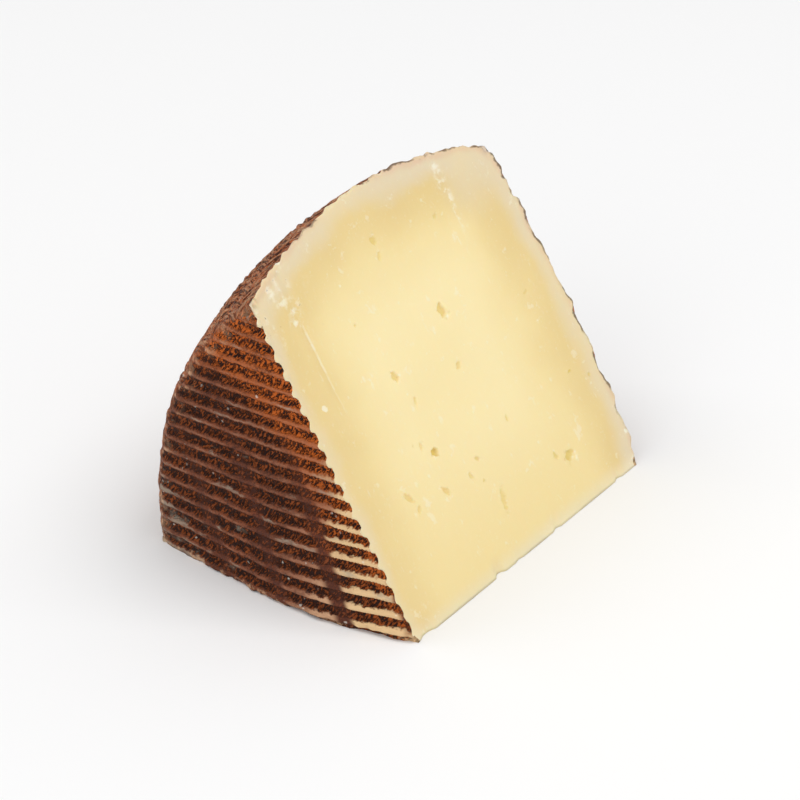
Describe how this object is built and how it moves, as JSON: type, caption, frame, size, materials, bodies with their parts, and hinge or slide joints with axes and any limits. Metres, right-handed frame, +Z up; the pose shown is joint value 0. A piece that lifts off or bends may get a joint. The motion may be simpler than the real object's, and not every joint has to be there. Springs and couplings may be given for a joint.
{
  "type": "cheese wedge",
  "caption": "Hand-cut wedge of a small aged sheep's-milk cheese wheel with a ribbed brown rind, lying on one of its two cut faces.",
  "frame": {"origin": "centre of the bottom of the bounding box, on the cut face that the wedge lies on", "axes": "+Z up from the lower cut face; Y along the axis of the wheel the wedge was cut from, so the wheel's flat faces look along -Y and +Y; +X from the rind towards the tip edge"},
  "size_m": [0.0852, 0.09, 0.0825],
  "materials": {
    "cheese": "pale yellow aged cheese paste, smooth and slightly waxy on the cuts, with a matt brown basket-marked rind on the flat faces and the side"
  },
  "bodies": {
    "root": {"cheese_wedge": "cheese"}
  },
  "joints": []
}
